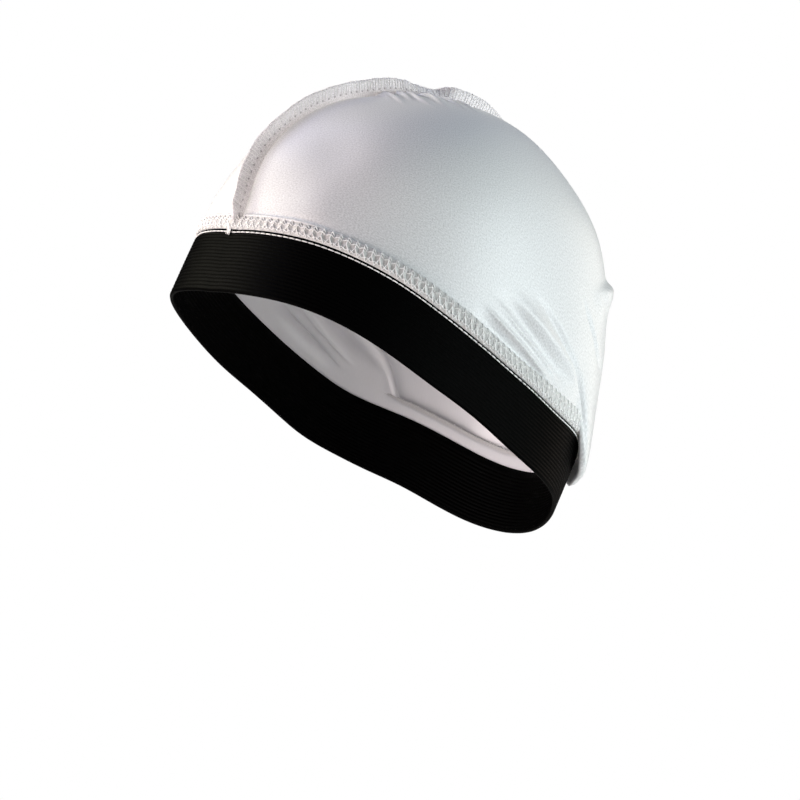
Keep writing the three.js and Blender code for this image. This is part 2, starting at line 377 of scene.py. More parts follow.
# Cloth grain: fine mottling and relief, longer one way than the other, in uv millimetres
cloth_grain, given, made = new_group(
    "cloth grain",
    [
        ("Size around", "NodeSocketFloat", 0.6),
        ("Size up", "NodeSocketFloat", 1.2),
        ("Mottling", "NodeSocketFloat", 0.05),
        ("Relief", "NodeSocketFloat", 0.2),
    ],
    [("Tone", "NodeSocketFloat"), ("Normal", "NodeSocketVector")],
)
place = cloth_grain.nodes.new("ShaderNodeUVMap")
place.uv_map = "millimetres"
size = cloth_grain.nodes.new("ShaderNodeCombineXYZ")
size.inputs["Z"].default_value = 1
scaled = cloth_grain.nodes.new("ShaderNodeVectorMath")
scaled.operation = "DIVIDE"
grain = cloth_grain.nodes.new("ShaderNodeTexNoise")
grain.inputs["Scale"].default_value = 1
grain.inputs["Detail"].default_value = 2
spread = cloth_grain.nodes.new("ShaderNodeMath")
spread.operation = "SUBTRACT"
spread.inputs[1].default_value = 0.5
tone = cloth_grain.nodes.new("ShaderNodeMath")
tone.operation = "MULTIPLY_ADD"
tone.inputs[2].default_value = 1
relief = cloth_grain.nodes.new("ShaderNodeBump")
relief.inputs["Distance"].default_value = 0.0002
cloth_grain.links.new(given.outputs["Size around"], size.inputs["X"])
cloth_grain.links.new(given.outputs["Size up"], size.inputs["Y"])
cloth_grain.links.new(place.outputs["UV"], scaled.inputs[0])
cloth_grain.links.new(size.outputs["Vector"], scaled.inputs[1])
cloth_grain.links.new(scaled.outputs["Vector"], grain.inputs["Vector"])
cloth_grain.links.new(grain.outputs["Fac"], spread.inputs[0])
cloth_grain.links.new(spread.outputs["Value"], tone.inputs[0])
cloth_grain.links.new(given.outputs["Mottling"], tone.inputs[1])
cloth_grain.links.new(grain.outputs["Fac"], relief.inputs["Height"])
cloth_grain.links.new(given.outputs["Relief"], relief.inputs["Strength"])
cloth_grain.links.new(tone.outputs["Value"], made.inputs["Tone"])
cloth_grain.links.new(relief.outputs["Normal"], made.inputs["Normal"])


def fabric_material(name, colour, roughness, sheen, around, up, mottling, relief_strength):
    """A cloth whose colour and relief vary with the cloth grain."""
    material = bpy.data.materials.new(name)
    material.use_nodes = True
    nodes = material.node_tree.nodes
    links = material.node_tree.links
    shader = nodes["Principled BSDF"]
    shader.inputs["Roughness"].default_value = roughness
    shader.inputs["Sheen Weight"].default_value = sheen
    shader.inputs["Sheen Roughness"].default_value = 0.4
    cloth = nodes.new("ShaderNodeGroup")
    cloth.node_tree = cloth_grain
    cloth.inputs["Size around"].default_value = around
    cloth.inputs["Size up"].default_value = up
    cloth.inputs["Mottling"].default_value = mottling
    cloth.inputs["Relief"].default_value = relief_strength
    tinted = nodes.new("ShaderNodeVectorMath")
    tinted.operation = "SCALE"
    tinted.inputs[0].default_value = colour
    links.new(cloth.outputs["Tone"], tinted.inputs["Scale"])
    links.new(tinted.outputs["Vector"], shader.inputs["Base Color"])
    links.new(cloth.outputs["Normal"], shader.inputs["Normal"])
    return material


satin_dull = fabric_material(
    "satin, dull side", (0.72, 0.72, 0.735), roughness=0.42, sheen=0.25,
    around=0.6, up=0.7, mottling=0.88, relief_strength=0.1,
)
satin_shiny = fabric_material(
    "satin, shiny side", (0.72, 0.72, 0.74), roughness=0.28, sheen=0.1,
    around=0.4, up=2.5, mottling=0.08, relief_strength=0.06,
)

SATIN_THICKNESS = 0.4
SEAM_EDGE = 0.15  # each panel stops this far from the middle plane
PANEL_START = 1.5  # the panels' lower edge is tucked under the seam strip, this far above the band
PANEL_COLUMNS = 248
LEVEL_ROWS = [(1, 1.2, 8), (1.2, 1.6, 24), (1.6, 2, 12), (2, 3.5, 48), (3.5, 5.5, 42), (5.5, 7, 60)]
AROUND_SCALE = 67  # millimetres of fabric for one radian
UP_SCALE = 26  # millimetres of fabric for one level


def panel_angles():
    """Angles from front to back, closer together beside the seam and among the folds."""
    degrees = np.linspace(0, 180, 3601)
    from_seam = np.minimum(degrees, 180 - degrees)
    among_folds = ease(degrees, 62, 72) * fade(degrees, 145, 155)
    density = 1 + 3 * bell(from_seam, 4) + among_folds
    travelled = np.concatenate([[0], np.cumsum((density[1:] + density[:-1]) / 2)])
    return np.radians(np.interp(np.linspace(0, travelled[-1], PANEL_COLUMNS + 1), travelled, degrees))


def panel_grid(side):
    """The panel's points and their uv, from the band up to the top and from front to back."""
    columns = panel_angles() * side
    parts = [np.linspace(low, high, count, endpoint=False) for low, high, count in LEVEL_ROWS]
    rows = np.concatenate([*parts, [TOP]])
    start = level_above_band(columns, PANEL_START)
    level = start + (rows[:, None] - BAND_TOP) * (TOP - start) / (TOP - BAND_TOP)
    angle = np.broadcast_to(columns, level.shape)
    flat_angle = angle.ravel()
    flat_level = level.ravel()
    points, normals = skin(flat_angle, flat_level, np.zeros(flat_angle.size))
    up = form_up(flat_angle, flat_level)

    # The pouch at the nape
    above = (flat_level - BAND_TOP) * climb_per_level(flat_angle)
    degrees = np.degrees(np.abs(flat_angle))
    slack = ease(degrees, *POUCH["degrees"]) * (1 - POUCH["less"] * ease(degrees, *POUCH["less_degrees"]))
    uneven = waver(flat_angle, 0.5) * ease(degrees, *POUCH["uneven_degrees"])
    slack = slack * (1 + POUCH["uneven"] * uneven)
    outward, downward = [
        slack * shape["distance"] * bell(above - POUCH["above_band"], shape["reach"])
        for shape in (POUCH_OUTWARD, POUCH_DOWNWARD)
    ]
    lower_layer = TURNED_UNDER * ease(above, *POUCH_STARTS["lower_layer"])
    outer_layer = (1 - TURNED_UNDER) * ease(above, *POUCH_STARTS["outer_layer"])
    points += normals * (outward * (lower_layer + outer_layer))[:, None]
    points -= up * (downward * ease(above, *POUCH_STARTS["downward"]))[:, None]

    # The roll and the dip above it at the front
    in_front = ease(degrees, *ROLL_DEGREES["starts"]) * fade(degrees, *ROLL_DEGREES["ends"])
    for shape in (ROLL, ROLL_DIP):
        lift = shape["height"] * bell(above - shape["above_band"], shape["reach"])
        points += normals * (in_front * lift)[:, None]

    # The groove along the middle
    from_seam = np.abs(points[:, 0])
    groove = MIDDLE_GROOVE["height"] * bell(from_seam, MIDDLE_GROOVE["reach"])
    points += normals * groove[:, None]
    points[:, 0] = side * np.maximum(side * points[:, 0], SEAM_EDGE)
    uv = np.stack([angle * AROUND_SCALE, level * UP_SCALE], axis=-1)
    return points.reshape(*level.shape, 3), uv


def weld(mesh):
    """Joins points that share a place, such as a whole row at the top."""
    cloth = bmesh.new()
    cloth.from_mesh(mesh)
    bmesh.ops.remove_doubles(cloth, verts=cloth.verts, dist=1e-6)
    cloth.to_mesh(mesh)
    cloth.free()


for side, name, node in [(LEFT, "panel_left", "crown_left"), (RIGHT, "panel_right", "crown_right")]:
    points, uv = panel_grid(side)
    if side == RIGHT:
        points = points[:, ::-1]
        uv = uv[:, ::-1]
    mesh = grid_mesh(name, points, uv)
    weld(mesh)
    panel = add_piece(mesh, [satin_dull, satin_shiny], [node])
    thickness = panel.modifiers.new("cloth thickness", "SOLIDIFY")
    thickness.thickness = SATIN_THICKNESS / 1000
    thickness.offset = -1
    thickness.material_offset = 1

# The standing seam: both panels' edges, overlocked together with white thread and left standing up
# on the outside, from the band at the front over the top to the band at the back. It leans and
# buckles where the curve is tight.
SEAM_HEIGHT = 6.9
SEAM_START = 4.5  # both ends are caught under the band seam, this far above the band
SEAM_STEP = 0.4
SEAM_ROOT = -0.3  # the seam's foot starts this far inside the fabric's outer face
SEAM_STITCH = 2.9
NEEDLE_LINE = 0.38  # share of the height at which the needle went through

# The seam is lower where its ends are caught, and taller behind the place where it buckles most
FRONT_END = {"share": 0.5, "reach": 7}
BACK_END = {"share": 0.4, "reach": 14}
TALLER = {"by": 0.7, "starts": (124, 132), "ends": (146, 154)}

# Millimetres of run from the front, and degrees of lean there towards the wearer's left
LEANS = [
    (0, -8), (4, 1), (9, 3), (17, -8), (32, -9), (38, 2), (46, 8), (58, 6), (66, 11), (73, 18), (81, 4),
    (88, -4), (98, -9), (106, -24), (114, -38), (121, -45), (124, -42), (131, 4), (138, 8), (145, 6),
    (151, -2), (160, -20), (172, -8), (186, 8), (205, -9), (228, 9), (255, -7), (282, 5), (305, 0),
]


def middle_line(place, outside):
    """Points on the middle of the cap, at places counted in levels from the front over to the back."""
    at_front = place <= TOP
    angle = np.where(at_front, 0, np.pi)
    level = np.where(at_front, place, 2 * TOP - place)
    point = form_point(angle, level)
    normal = form_normal(angle, level)
    lift = drape(angle, level, point, normal)
    point = point + normal * (lift + outside)[:, None]
    return point * (0, 1, 1), unit(normal * (0, 1, 1))


front_end, back_end = level_above_band(np.array([0, np.pi]), SEAM_START)
middle_place = np.linspace(front_end, 2 * TOP - back_end, 3000)
middle_foot, middle_outward = middle_line(middle_place, SEAM_ROOT)
middle_run = np.concatenate([[0], np.cumsum(np.linalg.norm(np.diff(middle_foot, axis=0), axis=1))])
seam_length = middle_run[-1]


def eased_steps(place, knots):
    """A value that eases from knot to knot, each a place and a value."""
    value = np.full(len(place), float(knots[0][1]))
    for (start, low), (end, high) in zip(knots[:-1], knots[1:]):
        value += (high - low) * ease(place, start, end)
    return value


def along_middle(run, values):
    return np.stack([np.interp(run, middle_run, column) for column in values.T], axis=1)


def seam_frame(run):
    """Foot, upward and sideways directions, and height of the standing seam, by millimetres of run."""
    outward = along_middle(run, middle_outward)
    lean = np.radians(eased_steps(run, LEANS))
    across = np.array((1.0, 0.0, 0.0))
    rise = outward * np.cos(lean)[:, None] + across * np.sin(lean)[:, None]
    side = across * np.cos(lean)[:, None] - outward * np.sin(lean)[:, None]
    taller = TALLER["by"] * ease(run, *TALLER["starts"]) * fade(run, *TALLER["ends"])
    height = SEAM_HEIGHT + taller
    for end, inward in [(FRONT_END, run), (BACK_END, seam_length - run)]:
        height = height * (end["share"] + (1 - end["share"]) * ease(inward, 0, end["reach"]))
    height = height + 0.15 * waver(run, 17)
    return along_middle(run, middle_foot), rise, side, height


# Half of the seam's section: share of the height, and half thickness in millimetres
SEAM_PROFILE = [
    (0.00, 0.80), (0.06, 0.72), (0.14, 0.66), (0.22, 0.58), (0.30, 0.52), (0.38, 0.48), (0.46, 0.55),
    (0.56, 0.64), (0.68, 0.70), (0.80, 0.70), (0.90, 0.62), (0.97, 0.42), (1.00, 0.15),
]


def seam_surface(run, share, face):
    """Points on the faces (1 left, -1 right) of the standing seam, at shares of its height."""
    foot, rise, side, height = seam_frame(run)
    half = np.interp(share, *np.array(SEAM_PROFILE).T)
    # The cloth swells between the stitches, along the needle's line
    between_stitches = np.sin(np.pi * run / SEAM_STITCH) ** 2
    half = half + 0.14 * between_stitches * bell(share - NEEDLE_LINE, 0.2)
    half = half + 0.06 * waver(run + 9 * share, 5.3) * share
    ripple = 0.12 * waver(run, SEAM_STITCH) * ease(share, 0.7, 1)
    point = foot + rise * (share * height + ripple)[:, None]
    edge = ease(share, 0.85, 1)[:, None]
    return point + side * (face * half)[:, None], unit(side * face[:, None] * (1 - edge) + rise * edge)


seam_run = np.arange(0, seam_length, SEAM_STEP)
section = [(share, 1) for share, _ in SEAM_PROFILE] + [(share, -1) for share, _ in SEAM_PROFILE[::-1]]
section = np.array(section[::-1], float)
all_runs = np.repeat(seam_run, len(section))
all_shares, all_faces = np.tile(section, (len(seam_run), 1)).T
seam_points, _ = seam_surface(all_runs, all_shares, all_faces)
seam_grid = seam_points.reshape(len(seam_run), len(section), 3)
round_section = SEAM_HEIGHT * section[:, 0] * section[:, 1]
seam_uv = np.zeros((len(seam_run), len(section) + 1, 2))
seam_uv[:, :, 0] = seam_run[:, None]
seam_uv[:, :, 1] = np.append(round_section, round_section[0])

seam_cloth = fabric_material(
    "overlocked satin", (0.8, 0.775, 0.8), roughness=0.7, sheen=0.2,
    around=0.5, up=0.5, mottling=1.3, relief_strength=1.0,
)
nodes = seam_cloth.node_tree.nodes
links = seam_cloth.node_tree.links
shader = nodes["Principled BSDF"]

# Light passes through the seam, which stands free of the panels, so its shadow is faint
glow = nodes.new("ShaderNodeBsdfTranslucent")
cloth = nodes.new("ShaderNodeMixShader")
cloth.inputs["Fac"].default_value = 0.35
clear = nodes.new("ShaderNodeBsdfTransparent")
clear.inputs["Color"].default_value = (0.6, 0.6, 0.6, 1)
kind_of_ray = nodes.new("ShaderNodeLightPath")
faint_shadow = nodes.new("ShaderNodeMixShader")
links.new(shader.outputs["BSDF"], cloth.inputs[1])
links.new(glow.outputs["BSDF"], cloth.inputs[2])
links.new(kind_of_ray.outputs["Is Shadow Ray"], faint_shadow.inputs["Fac"])
links.new(cloth.outputs["Shader"], faint_shadow.inputs[1])
links.new(clear.outputs["BSDF"], faint_shadow.inputs[2])
links.new(faint_shadow.outputs["Shader"], nodes["Material Output"].inputs["Surface"])

# The needle left a row of small holes along both faces. Painted shade darkens the cloth colour in each hole,
# where it sinks in.
HOLE_RADIUS = 0.45
HOLE_PAINTED_SHADE = 0.65
place = nodes.new("ShaderNodeUVMap")
place.uv_map = "millimetres"
split = nodes.new("ShaderNodeSeparateXYZ")
nearest_hole = nodes.new("ShaderNodeMath")
nearest_hole.operation = "PINGPONG"
nearest_hole.inputs[1].default_value = SEAM_STITCH / 2
either_face = nodes.new("ShaderNodeMath")
either_face.operation = "ABSOLUTE"
from_row = nodes.new("ShaderNodeMath")
from_row.operation = "SUBTRACT"
from_row.inputs[1].default_value = SEAM_HEIGHT * NEEDLE_LINE
offset = nodes.new("ShaderNodeCombineXYZ")
distance = nodes.new("ShaderNodeVectorMath")
distance.operation = "LENGTH"
hole = nodes.new("ShaderNodeMapRange")
hole.interpolation_type = "SMOOTHSTEP"
hole.inputs["From Min"].default_value = HOLE_RADIUS * 1.4
hole.inputs["From Max"].default_value = HOLE_RADIUS * 0.4
hole.inputs["To Max"].default_value = HOLE_PAINTED_SHADE
# Painted shade: a dark colour mixed into the cloth over each needle hole
hole_painted_shade = nodes.new("ShaderNodeMix")
hole_painted_shade.data_type = "RGBA"
hole_painted_shade.inputs["B"].default_value = (0.16, 0.13, 0.16, 1)
cloth_colour = shader.inputs["Base Color"].links[0].from_socket
links.new(place.outputs["UV"], split.inputs["Vector"])
links.new(split.outputs["X"], nearest_hole.inputs[0])
links.new(split.outputs["Y"], either_face.inputs[0])
links.new(either_face.outputs["Value"], from_row.inputs[0])
links.new(nearest_hole.outputs["Value"], offset.inputs["X"])
links.new(from_row.outputs["Value"], offset.inputs["Y"])
links.new(offset.outputs["Vector"], distance.inputs[0])
links.new(distance.outputs["Value"], hole.inputs["Value"])
links.new(hole.outputs["Result"], hole_painted_shade.inputs["Factor"])
links.new(cloth_colour, hole_painted_shade.inputs["A"])
links.new(hole_painted_shade.outputs["Result"], shader.inputs["Base Color"])
links.new(hole_painted_shade.outputs["Result"], glow.inputs["Color"])


def close_ends(mesh):
    """Fills the open ends of a tube."""
    cloth = bmesh.new()
    cloth.from_mesh(mesh)
    bmesh.ops.holes_fill(cloth, edges=[edge for edge in cloth.edges if edge.is_boundary])
    bmesh.ops.recalc_face_normals(cloth, faces=cloth.faces)
    cloth.to_mesh(mesh)
    cloth.free()


mesh = grid_mesh("standing_seam", seam_grid, seam_uv, wrap_columns=True)
close_ends(mesh)
add_piece(mesh, [seam_cloth], ["centre_seam"])


def thread_mesh(name, threads, radius, sides=6):
    """Round threads with closed ends, from pairs of the points of each thread and their normals."""
    paths = np.concatenate([path for path, _ in threads])
    outwards = np.concatenate([outward for _, outward in threads])
    forward = np.gradient(paths, axis=1)
    across = unit(np.cross(forward, outwards))
    outward = unit(np.cross(across, forward))
    count, points = paths.shape[:2]
    turn = (2 * np.pi * np.arange(sides) / sides)[:, None]
    ring = np.cos(turn) * across[:, :, None] + np.sin(turn) * outward[:, :, None]
    taper = np.ones(points)
    taper[[0, -1]] = 0.5
    corners = paths[:, :, None] + radius * taper[:, None, None] * ring
    start = (np.arange(count) * points * sides)[:, None, None]
    point = (np.arange(points - 1) * sides)[:, None]
    corner = np.arange(sides)
    after = (corner + 1) % sides
    quad = [start + point + corner, start + point + after]
    quad += [start + point + sides + after, start + point + sides + corner]
    quads = np.stack(quad, axis=-1).reshape(-1, 4)
    first_ends = (start[:, 0] + corner[::-1]).tolist()
    last_ends = (start[:, 0] + (points - 1) * sides + corner).tolist()
    mesh = bpy.data.meshes.new(name)
    mesh.from_pydata((corners.reshape(-1, 3) / 1000).tolist(), [], quads.tolist() + first_ends + last_ends)
    along = np.cumsum(np.linalg.norm(forward, axis=-1), axis=1)
    along = np.broadcast_to(along[:, :, None], (count, points, sides)).ravel()
    around = np.broadcast_to(corner * radius, (count, points, sides)).ravel()
    loops = np.zeros(len(mesh.loops), int)
    mesh.loops.foreach_get("vertex_index", loops)
    uv = np.stack([along[loops], around[loops]], axis=-1)
    mesh.uv_layers.new(name="millimetres").data.foreach_set("uv", uv.ravel())
    return mesh


white_thread = fabric_material(
    "white thread", (0.93, 0.92, 0.92), roughness=0.6, sheen=0.3,
    around=0.35, up=0.25, mottling=0.2, relief_strength=0.5,
)
SEAM_THREAD_RADIUS = 0.16
WRAP_STEPS = 7


def wrapped_threads(up_run, down_run):
    """Threads over the seam's edge: up the left face at one run, and down the right at another."""
    climb = np.linspace(NEEDLE_LINE, 1, WRAP_STEPS)
    share = np.tile(np.concatenate([climb, climb[::-1]]), len(up_run))
    face = np.tile(np.repeat([1.0, -1.0], WRAP_STEPS), len(up_run))
    run = np.linspace(up_run, down_run, 2 * WRAP_STEPS, axis=1).ravel()
    point, outward = seam_surface(run, share, face)
    shape = (len(up_run), 2 * WRAP_STEPS, 3)
    return (point + outward * (SEAM_THREAD_RADIUS * 0.3)).reshape(shape), outward.reshape(shape)


stitches = np.arange(SEAM_STITCH, seam_length - 2 * SEAM_STITCH, SEAM_STITCH)
up_runs = stitches + 0.35 * waver(stitches, 7.7)
down_runs = stitches + 0.35 * waver(stitches + 40, 6.1)
seam_thread = thread_mesh(
    "standing_seam_thread",
    [wrapped_threads(up_runs, down_runs + 0.5), wrapped_threads(up_runs + 1.2, down_runs + 2.2)],
    SEAM_THREAD_RADIUS,
)
add_piece(seam_thread, [white_thread])

# The band: a loop of black knitted elastic, a little over 25 mm wide, with fine raised ribs along it
# on both faces. Its upper edge is sewn into the band seam.
BAND_WIDTH = 25.4
BAND_RIBS = 17
RIB_HEIGHT = 0.34
RIB_POINTS = 4
BAND_COLUMNS = 440
BAND_OUTSIDE = 0.15
BAND_INSIDE = -1.1
BAND_TUCK = 1.7  # the elastic reaches this far up under the seam strip
PLAIN_EDGE = 0.012  # share of the width that is without ribs at each edge

# The band's section: share of the way up it, millimetres above its top, and outside the skin
ribs = np.arange(BAND_RIBS * RIB_POINTS + 1) / RIB_POINTS
rib_rise = RIB_HEIGHT * np.abs(np.sin(np.pi * ribs)) ** 0.7
band_share = PLAIN_EDGE + (1 - 2 * PLAIN_EDGE) * ribs / BAND_RIBS
outer = [(share, 0, BAND_OUTSIDE + rise) for share, rise in zip(band_share, rib_rise)]
inner = [(share, 0, BAND_INSIDE - rise) for share, rise in zip(band_share[::-1], rib_rise[::-1])]
tuck = [(1, BAND_TUCK, BAND_OUTSIDE - 0.25), (1, BAND_TUCK, BAND_INSIDE + 0.3)]
hem = [(0, 0, BAND_INSIDE + 0.3), (0, 0, BAND_OUTSIDE - 0.2)]
band_section = outer + tuck + inner + hem

band_angle = np.linspace(0, 2 * np.pi, BAND_COLUMNS, endpoint=False)
share, above, outside = np.array(band_section).T[:, :, None]
band_level = share * BAND_TOP + above / climb_per_level(band_angle)
all_angles = np.tile(band_angle, len(band_section))
all_outsides = np.repeat(outside, BAND_COLUMNS)
band_points, _ = skin(all_angles, band_level.ravel(), all_outsides)
band_grid = band_points.reshape(len(band_section), BAND_COLUMNS, 3)
band_uv = np.zeros((len(band_section) + 1, BAND_COLUMNS + 1, 2))
band_uv[:, :, 0] = np.linspace(0, 2 * np.pi * AROUND_SCALE, BAND_COLUMNS + 1)
band_uv[:, :, 1] = np.append(BAND_WIDTH * share + above, 0)[:, None]

elastic = fabric_material(
    "black elastic", (0.001, 0.001, 0.001), roughness=0.4, sheen=0,
    around=0.35, up=0.9, mottling=0.9, relief_strength=0.8,
)
# The black yarn has only a faint gloss along the ribs
elastic.node_tree.nodes["Principled BSDF"].inputs["Specular IOR Level"].default_value = 0.009
band = grid_mesh("elastic_band", band_grid, band_uv, wrap_rows=True, wrap_columns=True)
add_piece(band, [elastic], ["band"])

# The band seam: the crown's edge and the elastic's are overlocked together, and the edge is turned
# up and lies flat on the crown as a puffy strip. Its threads make a row of forked stems, crossed by
# a zigzag above the fork and one below it. Under the strip shows a fine line of white stitches.
STRIP_BOTTOM = 1.35
STRIP_TOP = 7  # at the front
STRIP_INSIDE = 0.15  # its inner face lies this far off the fabric
STRIP_WIDENS = {"share": 0.3, "from_front": (20, 90)}  # it gets wider towards the sides
STRIP_STEP = 0.4
STRIP_STITCH = 3.4
FORK = 3.9  # height above the band at which each stem forks
RUN_HEIGHT = 4  # the run along the strip is measured at this height above the band

rim_angle = np.linspace(-np.pi, np.pi, 4001)
rim_line, _ = skin(rim_angle, level_above_band(rim_angle, RUN_HEIGHT), np.zeros(len(rim_angle)))
rim_run = np.concatenate([[0], np.cumsum(np.linalg.norm(np.diff(rim_line, axis=0), axis=1))])
rim_run -= np.interp(0, rim_angle, rim_run)
rim_start = rim_run[0]
rim_length = rim_run[-1] - rim_start
strip_stitches = round(rim_length / STRIP_STITCH)
strip_pitch = rim_length / strip_stitches


def strip_surface(run, above, outside):
    """Points at millimetres along the band seam from the front, above the band and off the fabric."""
    angle = np.interp(run, rim_run, rim_angle)
    wider = 1 + STRIP_WIDENS["share"] * ease(np.abs(run), *STRIP_WIDENS["from_front"])
    above = np.where(above > STRIP_BOTTOM, STRIP_BOTTOM + wider * (above - STRIP_BOTTOM), above)
    # It bulges over the caught end of the standing seam, which slants a little
    over_seam_end = run + 0.5 + 2.5 * (STRIP_TOP - above) / (STRIP_TOP - STRIP_BOTTOM)
    bump = bell(over_seam_end, 1.7) * ease(above, 0.5, 4)
    bump += 0.7 * bell(run + 1.5, 4.5) * ease(above, 0.5, 5)
    return skin(angle, level_above_band(angle, above), outside + bump)


def strip_thickness(run, above):
    """How far the strip's outer face lies off the fabric, sunk between the stems of thread."""
    share = np.clip((above - STRIP_BOTTOM) / (STRIP_TOP - STRIP_BOTTOM), 0, 1)
    rounded = (4 * share * (1 - share)) ** 0.5
    stems = np.abs(np.cos(np.pi * run / strip_pitch)) ** 0.8
    legs = np.abs(np.cos(np.pi * (run / strip_pitch + (FORK - above) / 5))) ** 0.8
    other_legs = np.abs(np.cos(np.pi * (run / strip_pitch - (FORK - above) / 5))) ** 0.8
    low = ease(FORK - above, -0.6, 0.6)
    hollows = (1 - low) * (1 - stems) + low * (1 - np.maximum(legs, other_legs))
    cushion = 0.5 + 0.75 * rounded
    return cushion - 0.55 * hollows * rounded + 0.08 * waver(run + 3 * above, 2.3)


strip_run = np.linspace(rim_start, rim_start + rim_length, round(rim_length / STRIP_STEP), endpoint=False)
outer_heights = np.linspace(STRIP_BOTTOM, STRIP_TOP, 15)
inner_heights = np.array([STRIP_TOP - 0.2, 4, STRIP_BOTTOM + 0.2])
strip_heights = np.concatenate([outer_heights, inner_heights])
all_runs = np.tile(strip_run, len(strip_heights))
all_heights = np.repeat(strip_heights, len(strip_run))
outer_face = np.arange(len(all_runs)) < len(outer_heights) * len(strip_run)
all_outsides = np.where(outer_face, strip_thickness(all_runs, all_heights), STRIP_INSIDE)
strip_points, _ = strip_surface(all_runs, all_heights, all_outsides)
strip_grid = strip_points.reshape(len(strip_heights), len(strip_run), 3)
strip_uv = np.zeros((len(strip_heights) + 1, len(strip_run) + 1, 2))
strip_uv[:, :, 0] = np.append(strip_run, rim_start + rim_length)
strip_uv[:, :, 1] = np.append(outer_heights, STRIP_TOP + 2 * np.arange(4))[:, None]
# The strip's satin is painted darker than the crown's satin it is made of. This is painted shade for the
# hollows between its threads.
strip_satin_painted_shade = fabric_material(
    "band seam satin with painted shade", (0.66, 0.65, 0.645), roughness=0.75, sheen=0.15,
    around=0.45, up=0.45, mottling=0.45, relief_strength=0.7,
)
strip = grid_mesh("band_seam_strip", strip_grid, strip_uv, wrap_rows=True, wrap_columns=True)
add_piece(strip, [strip_satin_painted_shade], ["band_seam"])

STRIP_THREAD_RADIUS = 0.2
STRIP_THREAD_STEPS = 8


def strip_threads(start, end, rise=0.1, bow=0.0):
    """A thread in each stitch between two points, each a share of a stitch and a height above the
    band. The bow lifts its middle off the strip."""
    step = np.linspace(0, 1, STRIP_THREAD_STEPS)
    middle = rim_start + (np.arange(strip_stitches)[:, None] + 0.5) * strip_pitch
    uneven = 0.25 * waver(middle, 13)
    run = middle + uneven + (start[0] + (end[0] - start[0]) * step) * strip_pitch
    above = start[1] + (end[1] - start[1]) * step + 0.2 * waver(middle + 50, 19)
    run = rim_start + (run - rim_start) % rim_length
    outside = strip_thickness(run, above) + rise + bow * 4 * step * (1 - step)
    point, outward = strip_surface(run.ravel(), above.ravel(), outside.ravel())
    return point.reshape(*run.shape, 3), outward.reshape(*run.shape, 3)


strip_thread = thread_mesh(
    "band_seam_thread",
    # The stems, their two legs, the loops at their tops, and the two zigzags
    [
        strip_threads((0, FORK - 0.2), (0.12, STRIP_TOP + 0.1)),
        strip_threads((-0.5, STRIP_BOTTOM + 0.1), (0, FORK + 0.1)),
        strip_threads((0.5, STRIP_BOTTOM + 0.1), (0, FORK + 0.1), rise=0.16),
        strip_threads((0.1, STRIP_TOP + 0.25), (0.55, STRIP_TOP - 1.7), bow=0.12),
        strip_threads((-0.5, FORK + 0.9), (0.06, FORK + 1.7), rise=0.25),
        strip_threads((0.06, FORK + 1.7), (0.5, FORK + 0.9), rise=0.25),
        strip_threads((-0.5, FORK - 1.1), (0, FORK - 1.8), rise=0.25),
        strip_threads((0, FORK - 1.8), (0.5, FORK - 1.1), rise=0.25),
    ],
    STRIP_THREAD_RADIUS,
)
add_piece(strip_thread, [white_thread])

# White stitches along the upper edge of the elastic. At the front they nearly touch, and lie lower
# than at the sides.
EDGE_STITCH = 2.7
EDGE_THREAD_RADIUS = 0.27
EDGE_ABOVE = 0.35
EDGE_CHANGES = (40, 110)  # millimetres from the front over which they part and rise
edge_stitches = round(rim_length / EDGE_STITCH)
edge_pitch = rim_length / edge_stitches
edge_middle = rim_start + (np.arange(edge_stitches) + 0.5) * edge_pitch
edge_half = edge_pitch * (0.5 - 0.04 * ease(np.abs(edge_middle), *EDGE_CHANGES))
step = np.linspace(-1, 1, 7)
run = edge_middle[:, None] + edge_half[:, None] * step
outside = 0.22 + 0.2 * ease(np.abs(run), *EDGE_CHANGES) - 0.35 * step**4
point, outward = strip_surface(run.ravel(), np.full(run.size, EDGE_ABOVE), outside.ravel())
edge_threads = [(point.reshape(*run.shape, 3), outward.reshape(*run.shape, 3))]

# A short tail of the standing seam's threads, which sticks out under the strip at the front. Each
# thread has its run, the share and way of its spread, and how far its tip hangs above the others.
TAIL = np.array([(-3.6, -1, 0), (-3.1, 0.5, -0.2), (-2.6, -0.6, 0.15), (-2.2, 1, -0.3)])
TAIL_SPREAD = 0.35
TAIL_TOP = 2.8
TAIL_LENGTH = 3.7
tail_run, spread_share, tip_above = TAIL.T[:, :, None]
step = np.linspace(0, 1, 7)
run = tail_run + TAIL_SPREAD * step * spread_share
above = TAIL_TOP - TAIL_LENGTH * step + tip_above * step
outside = np.where(above > STRIP_BOTTOM, strip_thickness(run, above), 0.6) + 0.15
point, outward = strip_surface(run.ravel(), above.ravel(), outside.ravel())
tail_threads = [(point.reshape(*run.shape, 3), outward.reshape(*run.shape, 3))]
for name, threads in [("band_edge_stitches", edge_threads), ("seam_thread_tail", tail_threads)]:
    add_piece(thread_mesh(name, threads, EDGE_THREAD_RADIUS), [white_thread])

# The studio: a pale floor well below the cap, which keeps the form that it is worn in, and soft
# square lights, whose left and right are the camera's. The front and left ones are warm, the high
# left one is bluish, the right one is cool, and a faint warm one stands behind the cap.
FLOOR_HEIGHT = -0.6
FLOOR_REACH = 30

